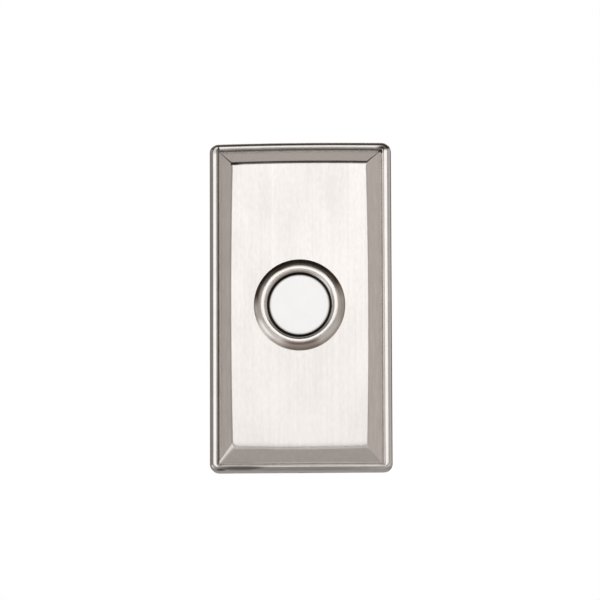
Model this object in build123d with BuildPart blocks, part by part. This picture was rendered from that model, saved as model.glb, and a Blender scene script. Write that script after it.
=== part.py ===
"""Lit doorbell push button: an oblong bevelled plate with a sprung round button in its middle.

The wall is the plane Y = 0. The plate stands in front of it, toward -Y, and the barrel of the
button reaches back into the wall, toward +Y. Z is up. Every level below is a distance in front
of the wall, so levels inside the wall are negative. All sizes are in millimetres.
"""

import os
from math import atan2, cos, radians, sqrt, tan

from build123d import *

# Face plate: outline, bead along the edge, groove, bevel and raised panel
plate_width = 38.1
plate_height = 69.5
plate_corner = 1.8
plate_top_bow = 0.22  # how far the upper edge bows up
bead_top = 2.9  # wall to the crest of the bead
bead_width_sides = 1.6
bead_width_ends = 1.3
bead_outer_round = 0.95
bead_inner_round = 0.3
groove_depth = 0.5  # crest of the bead to the foot of the bevel
groove_width = 0.12
bevel_rise = 3.4
bevel_run_sides = 3.2  # measured at the lower corners of the panel
bevel_run_ends = 3.6
panel_bow_sides = 0.35  # how far the long edges of the panel bow out
panel_bow_ends = 0.2
mitre_round = 0.4  # softened ridge where two bevels meet
panel_edge_round = 0.9
corner_flat = 0.01  # least radius that the rounded edge leaves in a corner of the flat

# Face plate: hollow back
rim_wall = 2.6
panel_wall = 2.0
pocket_margin = 0.9  # how far the hollow stays inside the edge of the panel
pocket_corner = 1.0

# Mounting plate that stays on the wall
bracket_thickness = 0.8
bracket_gap = 0.4  # all round, to the rim of the face plate
bracket_corner = 1.2
bracket_edge_round = 0.2  # front edges, drawn in by the punch
screw_spacing = 48.0
screw_slot_width = 4.2
screw_slot_length = 7.0
hook_spacing = 16.0
hook_width = 5.0
hook_reach = 1.3  # how far each hook goes into the upper rim
hook_gap = 0.15
hook_slot_gap = 0.3
lug_width = 8.0
lug_relief = 0.4
bend_radius = 0.55  # middle line of a bend, as a share of the sheet's thickness

# Grub screw in the lower edge
grub_radius = 0.8
grub_length = 4.0
grub_recess = 0.3
grub_socket_flats = 0.7
grub_socket_depth = 1.2
grub_point = 0.35  # length of its tapered tip
grub_fit = 0.03

# Push cap
cap_radius = 6.2
cap_gap = 0.5  # open ring seen round the cap
cap_edge_round = 0.45
cap_crown = 0.2  # how much the face of the cap domes
cap_recess = 0.6  # crest of the bezel to the middle of the cap
cap_wall = 1.0
cap_face_wall = 1.6
cap_shoulder = 0.8  # flange behind the lip, beyond the side of the cap
cap_shoulder_thickness = 1.4
cap_travel = 1.5

# Bezel: the raised ring and its barrel
slide_gap = 0.15  # shoulder of the cap to the bore
barrel_wall = 0.55
thread_height = 0.3
thread_spare = 0.7  # thread left behind the nut
hole_gap = 0.2  # thread to the hole in the panel
bezel_overhang = 1.55  # rim of the ring beyond the thread
bezel_height = 1.45  # panel to the crest of the ring
bezel_foot = 0.25
lip_round = 0.9  # crest to the opening for the cap
lip_depth = 1.2  # face of the panel to the back of the lip
barrel_chamfer = 0.3

# Lock washer and nut on the barrel
nut_wall = 1.5
nut_thickness = 1.8
nut_chamfer = 0.45  # how far the corners are turned down
nut_fit = 0.03
nut_window_gap = 0.6
washer_thickness = 0.5
washer_width = 1.6
washer_band = 0.7  # solid outer band of the lock washer
washer_teeth = 10

# Contacts and spring
bridge_thickness = 0.4
bridge_gap = 0.4  # contact bridge to the bore
bridge_collar = 1.0  # height of the collar inside the cap
bridge_fit = 0.1
strip_thickness = 0.6
strip_width = 4.4
strip_gap = 0.15
pad_length = 1.2
point_radius = 0.4  # silver contact points on the pads
point_height = 0.3
point_inset = 0.05
spring_wire = 0.6
spring_turns = 6
spring_gap = 0.5
switch_space = 7.7  # front of the switch base to the contact pads

# Switch base, retaining ring and terminals
base_length = 10.3
base_gap = 0.1
base_chamfer = 0.4
channel_gap = 0.05
tower_height = 4.0
tower_gap = 0.6
fin_thickness = 1.0
fin_gap = 0.6
fin_stand = 0.4  # fin beyond the heads of the terminal screws
ring_thickness = 0.6
ring_bite = 0.25  # depth of the ring in its groove
ring_seat_gap = 0.05
ring_lip = 0.5  # how far the ring stands out of the wall of the bore
ring_opening = 3.0
ring_land = 0.8  # barrel left behind the ring
screw_radius = 1.3
screw_fit = 0.05
screw_length = 5.0
screw_head_radius = 2.2
screw_head_height = 1.6
screw_slot = 0.7
screw_slot_depth = 0.8
terminal_washer_thickness = 0.5

# Lamp and resistor
lamp_radius = 1.5
lamp_flange_radius = 1.9
lamp_flange_height = 0.8
lamp_height = 4.8
resistor_radius = 0.8
resistor_length = 3.6
resistor_stand = 0.6
lead_radius = 0.25
lead_depth = 1.5
lead_fit = 0.1

# Levels of the face plate
groove_level = bead_top - groove_depth
panel_face = groove_level + bevel_rise
panel_back = panel_face - panel_wall
hook_level = bracket_thickness + hook_gap
hook_top = hook_level + bracket_thickness
pocket_step = hook_top + hook_gap  # where the walls of the hollow begin to lean
grub_level = (bead_top - bead_outer_round) / 2

# Insets of the face plate, measured from its outline
foot_inset_sides = bead_width_sides + groove_width
foot_inset_ends = bead_width_ends + groove_width
panel_inset_sides = foot_inset_sides + bevel_run_sides
panel_inset_ends = foot_inset_ends + bevel_run_ends
bracket_inset = rim_wall + bracket_gap
lug_inset = grub_recess + grub_length

# Corners of the panel, round enough for its edge to be rounded off past them
bevel_slope = atan2(bevel_rise, min(bevel_run_sides, bevel_run_ends))
edge_reach = panel_edge_round * tan(bevel_slope / 2)  # how far the round comes in on the flat
panel_corner = max(mitre_round, edge_reach + corner_flat)

# Radii of the button, from the cap outward
lip_radius = cap_radius + cap_gap
cap_bore = cap_radius - cap_wall
shoulder_radius = cap_radius + cap_shoulder
bore_radius = shoulder_radius + slide_gap
barrel_radius = bore_radius + barrel_wall
thread_radius = barrel_radius + thread_height
bezel_radius = thread_radius + bezel_overhang
nut_flats = 2 * (thread_radius + nut_wall)
nut_corner_radius = nut_flats / 2 / cos(radians(30))

# Radii inside the barrel, from the bore inward
ring_inner = bore_radius - ring_lip
strip_outer = sqrt((ring_inner - strip_gap) ** 2 - (strip_width / 2) ** 2)
strip_middle = strip_outer - strip_thickness / 2
pad_inner = strip_outer - pad_length
spring_radius = pad_inner - spring_gap - spring_wire / 2
tower_radius = spring_radius - spring_wire / 2 - tower_gap
bridge_radius = bore_radius - bridge_gap
bridge_inner = spring_radius - spring_wire
base_radius = bore_radius - base_gap
resistor_offset = (spring_radius + spring_wire / 2 + bore_radius) / 2

# Levels of the button, from front to back
crest_level = panel_face + bezel_height
cap_top = crest_level - cap_recess
lip_back = panel_face - lip_depth
shoulder_back = lip_back - cap_shoulder_thickness
bridge_back = shoulder_back - bridge_thickness
point_level = bridge_back - cap_travel
pad_level = point_level - point_height
nut_front = panel_back - washer_thickness
nut_back = nut_front - nut_thickness
thread_end = nut_back - thread_spare
base_front = pad_level - switch_space
tower_top = base_front + tower_height
base_back = base_front - base_length
ring_back = base_back - ring_thickness
barrel_back = ring_back - ring_land
strip_back = base_back - strip_thickness
head_front = strip_back - terminal_washer_thickness
head_back = head_front - screw_head_height

# Places across the contacts and the switch base
point_offset = pad_inner + point_inset + point_radius
terminal_inner = fin_thickness / 2 + fin_gap
terminal_offset = (terminal_inner + strip_outer) / 2

# Work planes: half section through the barrel, with x as radius and y as level, and a side
# section, with x as level and y as height
half_section = Plane(origin=(0, 0, 0), x_dir=(1, 0, 0), z_dir=(0, 0, -1))
side_section = Plane(origin=(0, 0, 0), x_dir=(0, -1, 0), z_dir=(-1, 0, 0))


def wall_plane(level):
    """Plane parallel to the wall, this far in front of it."""
    return Plane.XZ.offset(level)


def plate_outline(inset_sides, inset_ends, corner):
    """Rounded rectangle inside the outline of the face plate, drawn in the active sketch."""
    RectangleRounded(plate_width - 2 * inset_sides, plate_height - 2 * inset_ends, corner)


def bowed_outline(inset_sides, inset_ends, corner):
    """Sketch like plate_outline, with the bow of the plate's upper edge."""
    half_width = plate_width / 2 - inset_sides
    half_height = plate_height / 2 - inset_ends
    with BuildSketch(mode=Mode.PRIVATE) as outline:
        with BuildLine():
            straight_edges = Polyline(
                (-half_width, half_height - plate_top_bow),
                (-half_width, -half_height),
                (half_width, -half_height),
                (half_width, half_height - plate_top_bow),
            )
            ThreePointArc(straight_edges @ 0, (0, half_height), straight_edges @ 1)
        make_face()
        fillet(outline.vertices(), radius=corner)
    return outline.sketch


# Face plate
with BuildPart() as face_plate:
    # Block with the rounded bead along its edge
    with BuildSketch(wall_plane(0)):
        add(bowed_outline(0, 0, plate_corner))
    extrude(amount=bead_top)
    bead_front = face_plate.faces().sort_by(Axis.Y)[0]
    fillet(bead_front.edges(), radius=bead_outer_round)

    # Sunk field inside the bead, down to the foot of the bevel
    with BuildSketch(wall_plane(bead_top)):
        add(bowed_outline(bead_width_sides, bead_width_ends, mitre_round))
    extrude(amount=-groove_depth, mode=Mode.SUBTRACT)
    bead_front = face_plate.faces().sort_by(Axis.Y)[0]
    fillet(bead_front.inner_wires().edges(), radius=bead_inner_round)

    # Bevelled block that rises from the groove to the bowed panel
    with BuildSketch(wall_plane(groove_level)):
        add(bowed_outline(foot_inset_sides, foot_inset_ends, mitre_round))
    with BuildSketch(wall_plane(panel_face)) as panel_outline:
        panel_x = plate_width / 2 - panel_inset_sides
        panel_z = plate_height / 2 - panel_inset_ends
        with BuildLine():
            ThreePointArc((-panel_x, -panel_z), (0, -panel_z - panel_bow_ends), (panel_x, -panel_z))
            ThreePointArc((panel_x, -panel_z), (panel_x + panel_bow_sides, 0), (panel_x, panel_z))
            ThreePointArc((panel_x, panel_z), (0, panel_z + panel_bow_ends), (-panel_x, panel_z))
            ThreePointArc((-panel_x, panel_z), (-panel_x - panel_bow_sides, 0), (-panel_x, -panel_z))
        make_face()
        fillet(panel_outline.vertices(), radius=panel_corner)
    loft(ruled=True)
    panel = face_plate.faces().sort_by(Axis.Y)[0]
    fillet(panel.edges(), radius=panel_edge_round)

    # Hollow back: straight where the mounting plate goes in, then leaning with the bevels
    with BuildSketch(wall_plane(0)):
        plate_outline(rim_wall, rim_wall, pocket_corner)
    extrude(amount=pocket_step, mode=Mode.SUBTRACT)
    with BuildSketch(wall_plane(pocket_step)):
        plate_outline(rim_wall, rim_wall, pocket_corner)
    with BuildSketch(wall_plane(panel_back)):
        plate_outline(panel_inset_sides + pocket_margin, panel_inset_ends + pocket_margin, pocket_corner)
    loft(ruled=True, mode=Mode.SUBTRACT)

    # Hole for the barrel
    with BuildSketch(wall_plane(panel_back)):
        Circle(thread_radius + hole_gap)
    extrude(amount=panel_wall, mode=Mode.SUBTRACT)

    # Slots in the upper rim for the hooks of the mounting plate
    with BuildSketch(wall_plane(hook_level - hook_gap)):
        slot_depth = hook_reach + hook_slot_gap
        with Locations((0, plate_height / 2 - rim_wall)):
            with GridLocations(hook_spacing, 0, 2, 1):
                Rectangle(hook_width + 2 * hook_slot_gap, slot_depth, align=(Align.CENTER, Align.MIN))
    extrude(amount=pocket_step - hook_level + hook_gap, mode=Mode.SUBTRACT)

    # Tapped hole for the grub screw in the lower rim
    with BuildSketch(Plane.XY.offset(-plate_height / 2)):
        with Locations((0, -grub_level)):
            Circle(grub_radius + grub_fit)
    extrude(amount=bracket_inset, mode=Mode.SUBTRACT)
face_plate.part.label = "face_plate"

# Mounting plate
with BuildPart() as mounting_plate:
    bracket_top = plate_height / 2 - bracket_inset
    lug_face = -plate_height / 2 + lug_inset
    with BuildSketch(wall_plane(0)):
        plate_outline(bracket_inset, bracket_inset, bracket_corner)
        Circle(nut_corner_radius + nut_window_gap, mode=Mode.SUBTRACT)
        with GridLocations(0, screw_spacing, 1, 2):
            SlotOverall(screw_slot_length, screw_slot_width, rotation=90, mode=Mode.SUBTRACT)
        with Locations((0, -bracket_top)):
            notch_height = lug_face + bracket_thickness / 2 + bracket_top
            notch_width = lug_width + 2 * lug_relief
            Rectangle(notch_width, notch_height, align=(Align.CENTER, Align.MIN), mode=Mode.SUBTRACT)
    extrude(amount=bracket_thickness)
    fillet(mounting_plate.faces().sort_by(Axis.Y)[0].edges(), radius=bracket_edge_round)

    # Lug that the grub screw bears on, bent forward at the head of the notch
    with BuildSketch(side_section):
        with BuildLine():
            FilletPolyline(
                (bracket_thickness / 2, lug_face + 2 * bracket_thickness),
                (bracket_thickness / 2, lug_face + bracket_thickness / 2),
                (hook_top, lug_face + bracket_thickness / 2),
                radius=bend_radius * bracket_thickness,
            )
        trace(line_width=bracket_thickness)
    extrude(amount=lug_width / 2, both=True)

    # Two stepped hooks at the upper edge
    for hook_x in (-hook_spacing / 2, hook_spacing / 2):
        with BuildSketch(side_section.offset(hook_x)):
            with BuildLine():
                FilletPolyline(
                    (bracket_thickness / 2, bracket_top - 2 * bracket_thickness),
                    (bracket_thickness / 2, bracket_top - bracket_thickness / 2),
                    (hook_level + bracket_thickness / 2, bracket_top - bracket_thickness / 2),
                    (hook_level + bracket_thickness / 2, bracket_top + bracket_gap + hook_reach),
                    radius=bend_radius * bracket_thickness,
                )
            trace(line_width=bracket_thickness)
        extrude(amount=hook_width / 2, both=True)
mounting_plate.part.label = "mounting_plate"

# Grub screw, hexagon socket outward and tapered tip on the lug
with BuildPart() as grub_screw:
    grub_outer = -plate_height / 2 + grub_recess
    with BuildSketch(Plane.XY.offset(grub_outer)):
        with Locations((0, -grub_level)):
            Circle(grub_radius)
    extrude(amount=grub_length)
    chamfer(grub_screw.faces().sort_by(Axis.Z)[-1].edges(), length=grub_point)
    with BuildSketch(Plane.XY.offset(grub_outer)):
        with Locations((0, -grub_level)):
            RegularPolygon(grub_socket_flats / 2, 6, major_radius=False)
    extrude(amount=grub_socket_depth, mode=Mode.SUBTRACT)
grub_screw.part.label = "grub_screw"

# Bezel: ring, lip and barrel turned in one piece
with BuildPart() as bezel:
    with BuildSketch(half_section):
        with BuildLine():
            lip_edge = (lip_radius, crest_level - lip_round)
            crest = (lip_radius + lip_round, crest_level)
            ring_foot = (bezel_radius, panel_face + bezel_foot)
            TangentArc(lip_edge, crest, tangent=(0, 1))
            TangentArc(crest, ring_foot, tangent=(1, 0))
            Polyline(
                ring_foot,
                (bezel_radius, panel_face),
                (thread_radius, panel_face),
                (thread_radius, thread_end),
                (barrel_radius, thread_end),
                (barrel_radius, barrel_back + barrel_chamfer),
                (barrel_radius - barrel_chamfer, barrel_back),
                (bore_radius, barrel_back),
                (bore_radius, lip_back),
                (lip_radius, lip_back),
                lip_edge,
            )
        make_face()
    revolve(axis=Axis.Y)

    # Groove for the retaining ring
    with BuildSketch(wall_plane(ring_back)):
        Circle(bore_radius + ring_bite + ring_seat_gap)
        Circle(bore_radius, mode=Mode.SUBTRACT)
    extrude(amount=ring_thickness, mode=Mode.SUBTRACT)
bezel.part.label = "bezel"

# Lock washer with inner teeth
with BuildPart() as lock_washer:
    washer_radius = thread_radius + washer_width
    tooth_root = washer_radius - washer_band
    with BuildSketch(wall_plane(nut_front)):
        Circle(washer_radius)
        Circle(thread_radius + hole_gap, mode=Mode.SUBTRACT)
        with PolarLocations(0, washer_teeth):
            Rectangle(tooth_root, washer_band, align=(Align.MIN, Align.CENTER), mode=Mode.SUBTRACT)
    extrude(amount=washer_thickness)
lock_washer.part.label = "lock_washer"

# Lock nut
with BuildPart() as lock_nut:
    with BuildSketch(wall_plane(nut_back)):
        RegularPolygon(nut_flats / 2, 6, major_radius=False)
    extrude(amount=nut_thickness)

    # Corners turned down on both faces, and the threaded hole
    with BuildSketch(half_section):
        with BuildLine():
            Polyline(
                (thread_radius + nut_fit, nut_front),
                (nut_flats / 2, nut_front),
                (nut_corner_radius, nut_front - nut_chamfer),
                (nut_corner_radius, nut_back + nut_chamfer),
                (nut_flats / 2, nut_back),
                (thread_radius + nut_fit, nut_back),
                close=True,
            )
        make_face()
    revolve(axis=Axis.Y, mode=Mode.INTERSECT)
lock_nut.part.label = "lock_nut"

# Push cap: domed face, thin side and the shoulder that the lip holds in
with BuildPart() as push_cap:
    with BuildSketch(half_section) as cap_profile:
        with BuildLine():
            cap_rim = (cap_radius, cap_top - cap_crown)
            TangentArc((0, cap_top), cap_rim, tangent=(1, 0))
            Polyline(
                cap_rim,
                (cap_radius, lip_back),
                (shoulder_radius, lip_back),
                (shoulder_radius, shoulder_back),
                (cap_bore, shoulder_back),
                (cap_bore, cap_top - cap_face_wall),
                (0, cap_top - cap_face_wall),
                (0, cap_top),
            )
        make_face()
        fillet(cap_profile.vertices().sort_by_distance(cap_rim)[0], radius=cap_edge_round)
    revolve(axis=Axis.Y)
push_cap.part.label = "push_cap"

# Contact bridge: flat ring with a collar that centres it in the cap
with BuildPart() as contact_bridge:
    collar_radius = cap_bore - bridge_fit
    with BuildSketch(wall_plane(bridge_back)):
        Circle(bridge_radius)
        Circle(bridge_inner, mode=Mode.SUBTRACT)
    extrude(amount=bridge_thickness)
    with BuildSketch(wall_plane(shoulder_back)):
        Circle(collar_radius)
        Circle(collar_radius - bridge_thickness, mode=Mode.SUBTRACT)
    extrude(amount=bridge_collar)
contact_bridge.part.label = "contact_bridge"

# Return spring between switch base and contact bridge
with BuildPart() as return_spring:
    coil_rise = bridge_back - base_front - spring_wire
    coil_start = (0, -base_front - spring_wire / 2, 0)
    with BuildLine() as coil:
        Helix(coil_rise / spring_turns, coil_rise, spring_radius, center=coil_start, direction=(0, -1, 0))
    with BuildSketch(Plane(origin=coil.line @ 0, z_dir=coil.line % 0)):
        Circle(spring_wire / 2)
    sweep(path=coil.line, is_frenet=True)
return_spring.part.label = "return_spring"

# Left contact: pad in front, leg along the switch base, terminal plate behind it
with BuildPart() as left_contact:
    with BuildSketch(half_section):
        with BuildLine():
            FilletPolyline(
                (-pad_inner, pad_level - strip_thickness / 2),
                (-strip_middle, pad_level - strip_thickness / 2),
                (-strip_middle, strip_back + strip_thickness / 2),
                (-terminal_inner, strip_back + strip_thickness / 2),
                radius=bend_radius * strip_thickness,
            )
        trace(line_width=strip_thickness)
    extrude(amount=strip_width / 2, both=True)
    with BuildSketch(wall_plane(strip_back)):
        with Locations((-terminal_offset, 0)):
            Circle(screw_radius + screw_fit)
    extrude(amount=strip_thickness, mode=Mode.SUBTRACT)
left_contact.part.label = "left_contact"

# Right contact, the mirror image of the left one
with BuildPart() as right_contact:
    mirror(left_contact.part, about=Plane.YZ)
right_contact.part.label = "right_contact"

# Contact points riveted to the two pads
with BuildPart() as contact_points:
    with BuildSketch(wall_plane(pad_level)):
        with GridLocations(2 * point_offset, 0, 2, 1):
            Circle(point_radius)
    extrude(amount=point_height)
contact_points.part.label = "contact_points"

# Switch base: plug with the tower for the lamp and the fin between the terminals
with BuildPart() as switch_base:
    with BuildSketch(wall_plane(base_front)):
        Circle(base_radius)
    extrude(amount=-base_length)
    chamfer(switch_base.faces().sort_by(Axis.Y)[0].edges(), length=base_chamfer)
    with BuildSketch(wall_plane(base_front)):
        Circle(tower_radius)
    extrude(amount=tower_height)

    # Fin that keeps the two wires apart
    with BuildSketch(wall_plane(base_back)):
        Rectangle(fin_thickness, 2 * strip_outer)
    extrude(amount=head_back - fin_stand - base_back)

    # Open channels in the sides for the legs of the contacts
    with BuildSketch(wall_plane(base_front)):
        channel_inner = strip_outer - strip_thickness - channel_gap
        channel_width = strip_width + 2 * channel_gap
        with Locations((channel_inner, 0)):
            Rectangle(base_radius, channel_width, align=(Align.MIN, Align.CENTER))
        with Locations((-channel_inner, 0)):
            Rectangle(base_radius, channel_width, align=(Align.MAX, Align.CENTER))
    extrude(amount=-base_length, mode=Mode.SUBTRACT)

    # Holes for the terminal screws and for the leads of the resistor
    with BuildSketch(wall_plane(base_back)):
        with GridLocations(2 * terminal_offset, 0, 2, 1):
            Circle(screw_radius + 2 * screw_fit)
    extrude(amount=screw_length, mode=Mode.SUBTRACT)
    with BuildSketch(wall_plane(base_front)):
        with Locations((0, resistor_offset)):
            with GridLocations(2 * resistor_radius + 4 * lead_radius, 0, 2, 1):
                Circle(lead_radius + lead_fit)
    extrude(amount=-lead_depth - lead_fit, mode=Mode.SUBTRACT)
switch_base.part.label = "switch_base"

# Terminal screws, slotted pan heads
with BuildPart() as terminal_screws:
    with BuildSketch(wall_plane(head_front)):
        with GridLocations(2 * terminal_offset, 0, 2, 1):
            Circle(screw_head_radius)
    extrude(amount=-screw_head_height)
    head_faces = terminal_screws.faces().group_by(Axis.Y)[-1]
    fillet(head_faces.edges(), radius=screw_head_height / 2)
    with BuildSketch(wall_plane(head_front)):
        with GridLocations(2 * terminal_offset, 0, 2, 1):
            Circle(screw_radius)
    extrude(amount=screw_length)
    with BuildSketch(wall_plane(head_back)):
        with GridLocations(2 * terminal_offset, 0, 2, 1):
            Rectangle(2 * screw_head_radius, screw_slot)
    extrude(amount=screw_slot_depth, mode=Mode.SUBTRACT)
terminal_screws.part.label = "terminal_screws"

# Washers under the heads of the terminal screws
with BuildPart() as terminal_washers:
    with BuildSketch(wall_plane(head_front)):
        with GridLocations(2 * terminal_offset, 0, 2, 1):
            Circle(screw_head_radius)
            Circle(screw_radius + screw_fit, mode=Mode.SUBTRACT)
    extrude(amount=terminal_washer_thickness)
terminal_washers.part.label = "terminal_washers"

# Retaining ring, open at the lower side
with BuildPart() as retaining_ring:
    with BuildSketch(wall_plane(ring_back)):
        Circle(bore_radius + ring_bite)
        Circle(ring_inner, mode=Mode.SUBTRACT)
        with Locations((0, -bore_radius)):
            Rectangle(ring_opening, 4 * ring_lip, mode=Mode.SUBTRACT)
    extrude(amount=ring_thickness)
retaining_ring.part.label = "retaining_ring"

# Lamp on the tower of the switch base
with BuildPart() as lamp:
    with BuildSketch(half_section):
        with BuildLine():
            dome_start = (lamp_radius, tower_top + lamp_height - lamp_radius)
            Polyline(
                (0, tower_top + lamp_height),
                (0, tower_top),
                (lamp_flange_radius, tower_top),
                (lamp_flange_radius, tower_top + lamp_flange_height),
                (lamp_radius, tower_top + lamp_flange_height),
                dome_start,
            )
            TangentArc(dome_start, (0, tower_top + lamp_height), tangent=(0, 1))
        make_face()
    revolve(axis=Axis.Y)
lamp.part.label = "lamp"

# Resistor in series with the lamp, with both leads bent into the switch base
with BuildPart() as resistor:
    resistor_plane = half_section.offset(-resistor_offset)
    resistor_low = base_front + resistor_stand
    resistor_top = resistor_low + resistor_length
    lead_x = resistor_radius + 2 * lead_radius
    lead_end = base_front - lead_depth
    with BuildLine(resistor_plane) as lead:
        FilletPolyline(
            (-lead_x, lead_end),
            (-lead_x, resistor_top + resistor_stand),
            (0, resistor_top + resistor_stand),
            (0, resistor_low - resistor_stand / 2),
            (lead_x, resistor_low - resistor_stand / 2),
            (lead_x, lead_end),
            radius=lead_radius,
        )
    with BuildSketch(Plane(origin=lead.line @ 0, z_dir=lead.line % 0)):
        Circle(lead_radius)
    sweep(path=lead.line)
    with BuildSketch(wall_plane(resistor_low)):
        with Locations((0, resistor_offset)):
            Circle(resistor_radius)
    extrude(amount=resistor_length)
    body_ends = resistor.edges().filter_by(GeomType.CIRCLE).filter_by(
        lambda edge: abs(edge.radius - resistor_radius) < lead_radius
    )
    fillet(body_ends, radius=resistor_radius / 2)
resistor.part.label = "resistor"

pieces = (
    face_plate,
    mounting_plate,
    grub_screw,
    bezel,
    lock_washer,
    lock_nut,
    push_cap,
    contact_bridge,
    return_spring,
    left_contact,
    right_contact,
    contact_points,
    switch_base,
    terminal_screws,
    terminal_washers,
    retaining_ring,
    lamp,
    resistor,
)

os.makedirs("parts", exist_ok=True)
for piece in pieces:
    export_step(piece.part, f"parts/{piece.part.label}.step")
    print(piece.part.label, round(piece.part.volume, 2), "mm3")
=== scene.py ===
# %% [markdown]
# # A lit doorbell push button in satin nickel
#
# The solids of the doorbell come in as a fixed frame: every piece is already at its real size and
# place, in metres, with the wall in the plane Y = 0, the front toward -Y and Z up. This lesson
# dresses that frame. It sets a camera and soft studio light, gives every piece its finish, and
# models again the pieces whose looks need more than the plain solids have. A level is a distance
# in front of the wall. Sizes of the doorbell are in millimetres, and a size times MM is in metres.

# %% Load the frame
import math

import bmesh
import bpy
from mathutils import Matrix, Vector


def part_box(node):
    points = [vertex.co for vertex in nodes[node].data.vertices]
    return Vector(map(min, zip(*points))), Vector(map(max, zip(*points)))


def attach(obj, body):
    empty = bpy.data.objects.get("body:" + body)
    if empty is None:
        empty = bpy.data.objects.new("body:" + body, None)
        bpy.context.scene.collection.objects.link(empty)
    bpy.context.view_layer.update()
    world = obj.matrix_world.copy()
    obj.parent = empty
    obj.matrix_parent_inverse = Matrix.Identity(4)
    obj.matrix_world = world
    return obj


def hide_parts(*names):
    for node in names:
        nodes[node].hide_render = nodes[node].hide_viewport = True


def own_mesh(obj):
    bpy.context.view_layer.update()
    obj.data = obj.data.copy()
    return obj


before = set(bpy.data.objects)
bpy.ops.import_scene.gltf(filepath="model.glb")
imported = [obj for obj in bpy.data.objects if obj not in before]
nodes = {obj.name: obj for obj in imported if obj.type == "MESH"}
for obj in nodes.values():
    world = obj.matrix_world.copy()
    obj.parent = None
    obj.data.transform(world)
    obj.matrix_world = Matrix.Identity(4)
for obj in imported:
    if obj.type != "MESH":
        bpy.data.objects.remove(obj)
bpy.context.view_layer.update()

MM = 0.001
scene = bpy.context.scene
print("pieces in the frame:", len(nodes))

# %% [markdown]
# ## The camera
#
# The doorbell is seen almost straight on, from a little below and a little to the right, through a
# long lens. A long lens stands far away and keeps the long edges nearly parallel, as in a
# catalogue picture. The lens is worked out from the width of wall that the picture takes in.

# %% Camera
PICTURE_WIDTH = 125.6 * MM
CAMERA_DISTANCE = 850 * MM
CAMERA_RIGHT = math.radians(3.0)
CAMERA_BELOW = math.radians(6.2)
CAMERA_ROLL = math.radians(-0.18)
CAMERA_AIM = Vector((-0.06, -3.0, 1.33)) * MM
SENSOR_WIDTH = 36.0
NEAREST_SEEN = 10 * MM

to_camera = Vector((
    math.sin(CAMERA_RIGHT) * math.cos(CAMERA_BELOW),
    -math.cos(CAMERA_RIGHT) * math.cos(CAMERA_BELOW),
    -math.sin(CAMERA_BELOW),
))
bpy.ops.object.camera_add(location=CAMERA_AIM + to_camera * CAMERA_DISTANCE)
camera = bpy.context.object
camera.rotation_euler = (-to_camera).to_track_quat("-Z", "Y").to_euler()
camera.rotation_euler.rotate_axis("Z", CAMERA_ROLL)
camera.data.sensor_width = SENSOR_WIDTH
camera.data.lens = SENSOR_WIDTH * CAMERA_DISTANCE / PICTURE_WIDTH
camera.data.clip_start = NEAREST_SEEN
scene.camera = camera
scene.view_settings.view_transform = "Standard"
print("lens in mm:", round(camera.data.lens, 1))

# %% [markdown]
# ## The studio
#
# Metal shows little of itself and much of the room, so the room is built with care. A wide soft
# box in front makes the panel bright, smaller ones stand above and at both sides, and dim fills
# close part of the gaps. A small one low on the left lights the ring and the worn corner of the
# plate, and one behind lights the back. The gaps that are left draw the dark lines that make
# rounded metal look round. The boxes are given in metres.

# %% Soft boxes
WARM = (1.0, 0.93, 0.87)
PALE = (1.0, 0.97, 0.94)
WHITE = (1.0, 1.0, 1.0)
COOL = (0.93, 0.97, 1.0)


def softbox(name, place, aim, size, radiance, colour):
    """Soft rectangular light at a place, turned to an aim, with the brightness of its face."""
    bpy.ops.object.select_all(action="DESELECT")
    bpy.ops.object.light_add(type="AREA", location=place)
    light = bpy.context.object
    light.name = name
    light.data.shape = "RECTANGLE"
    light.data.size, light.data.size_y = size
    light.data.energy = radiance * math.pi * size[0] * size[1]
    light.data.color = colour
    light.visible_camera = False
    light.rotation_euler = (Vector(aim) - Vector(place)).to_track_quat("-Z", "Y").to_euler()


# Name, place, aim, size, brightness of the face, colour
BOXES = (
    ("front_softbox", (-0.02, -1.1, 0.40), (-0.02, 0, 0.40), (1.0, 0.90), 1.32, WHITE),
    ("front_fade", (0, -0.75, 0.99), (0, 0, 0.05), (1.8, 0.36), 0.14, WARM),
    ("top_softbox", (0, 0.24, 0.8), (0, 0.24, 0), (1.4, 0.4), 0.56, WARM),
    ("left_softbox", (-0.9, 0.25, 0.1), (0, 0.25, 0.1), (0.7, 1.0), 0.475, WARM),
    ("left_fill", (-0.9, -0.95, 0.05), (0, -0.95, 0.05), (1.7, 1.0), 0.38, WARM),
    ("right_softbox", (0.9, 0.22, 0.1), (0, 0.22, 0.1), (0.95, 1.0), 0.55, WARM),
    ("right_fill", (0.9, -1.05, 0.1), (0, -1.05, 0.1), (1.6, 1.0), 0.50, WARM),
    ("low_front_fill", (0, -0.52, -0.11), (0, -0.52, 0), (1.0, 0.94), 0.23, PALE),
    ("left_kicker", (-0.16, -0.07, -0.1), (0, 0, 0), (0.13, 0.11), 0.5, COOL),
    ("upper_left_fill", (-0.5, -0.3, 0.45), (0, 0, 0), (0.35, 0.35), 0.2, WARM),
    ("upper_right_fill", (0.5, -0.3, 0.45), (0, 0, 0), (0.35, 0.35), 0.2, WARM),
    ("rear_softbox", (0, 1.2, 0.85), (0, 0, 0), (1.8, 0.8), 2.0, PALE),
)
for box in BOXES:
    softbox(*box)

# %% [markdown]
# ## The floor
#
# The floor is a plain pale sheet under the doorbell. It lies below the picture, but the lower
# bevel mirrors it, so its tone is chosen for that bevel.

# %% Floor
FLOOR_LEVEL = -0.13
FLOOR_RADIUS = 0.9
FLOOR_SIDES = 128
FLOOR_TONE = (0.945, 0.93, 0.912)
FLOOR_ROUGHNESS = 0.8


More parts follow.
